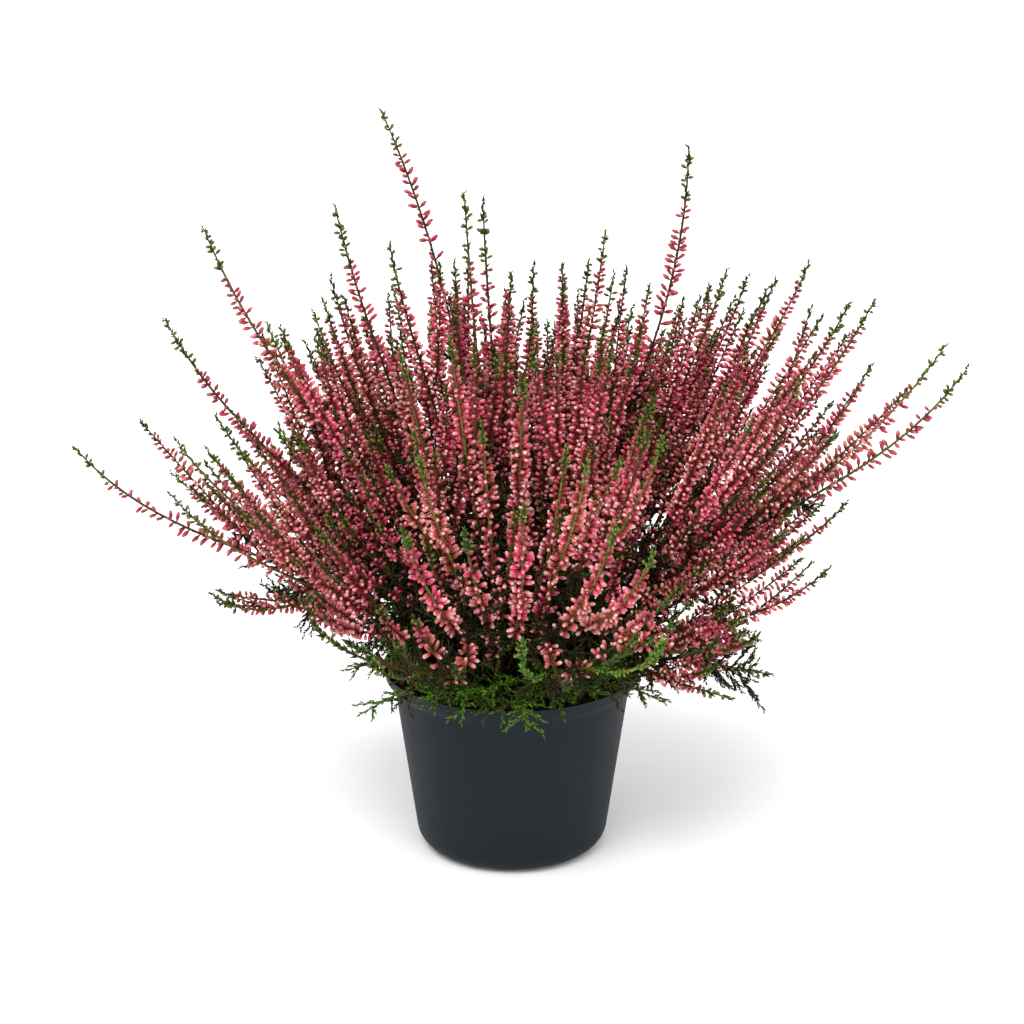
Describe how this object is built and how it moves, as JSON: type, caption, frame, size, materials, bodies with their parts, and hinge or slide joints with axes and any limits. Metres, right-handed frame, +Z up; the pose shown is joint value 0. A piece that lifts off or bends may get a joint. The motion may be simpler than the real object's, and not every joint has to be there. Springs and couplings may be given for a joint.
{
  "type": "potted flowering plant",
  "caption": "Bud-flowering heather with upright rosy flower sprays and low green shoots, growing in a round tapered nursery pot filled with compost.",
  "frame": {"origin": "centre of the pot's foot, on the surface it stands on", "axes": "+Z up along the pot's axis, the plant's front faces -Y, +X to the right seen from the front"},
  "size_m": [0.401, 0.318, 0.338],
  "materials": {
    "pot_plastic": "satin",
    "compost": "matte",
    "flower_spray": "matte",
    "green_shoot": "matte"
  },
  "bodies": {
    "root": {"pot": "pot_plastic", "soil": "compost", "spray_01": "flower_spray", "spray_02": "flower_spray", "spray_03": "flower_spray", "spray_04": "flower_spray", "spray_05": "flower_spray", "spray_06": "flower_spray", "spray_07": "flower_spray", "spray_08": "flower_spray", "spray_09": "flower_spray", "spray_10": "flower_spray", "spray_11": "flower_spray", "spray_12": "flower_spray", "spray_13": "flower_spray", "spray_14": "flower_spray", "spray_15": "flower_spray", "spray_16": "flower_spray", "spray_17": "flower_spray", "spray_18": "flower_spray", "spray_19": "flower_spray", "spray_20": "flower_spray", "spray_21": "flower_spray", "spray_22": "flower_spray", "spray_23": "flower_spray", "spray_24": "flower_spray", "spray_25": "flower_spray", "spray_26": "flower_spray", "spray_27": "flower_spray", "spray_28": "flower_spray", "spray_29": "flower_spray", "spray_30": "flower_spray", "spray_31": "flower_spray", "spray_32": "flower_spray", "spray_33": "flower_spray", "spray_34": "flower_spray", "spray_35": "flower_spray", "spray_36": "flower_spray", "spray_37": "flower_spray", "spray_38": "flower_spray", "spray_39": "flower_spray", "spray_40": "flower_spray", "spray_41": "flower_spray", "spray_42": "flower_spray", "leafy_shoot_01": "green_shoot", "leafy_shoot_02": "green_shoot", "leafy_shoot_03": "green_shoot", "leafy_shoot_04": "green_shoot", "leafy_shoot_05": "green_shoot", "leafy_shoot_06": "green_shoot", "leafy_shoot_07": "green_shoot", "leafy_shoot_08": "green_shoot", "leafy_shoot_09": "green_shoot", "leafy_shoot_10": "green_shoot", "leafy_shoot_11": "green_shoot", "leafy_shoot_12": "green_shoot", "leafy_shoot_13": "green_shoot", "leafy_shoot_14": "green_shoot"}
  },
  "joints": []
}
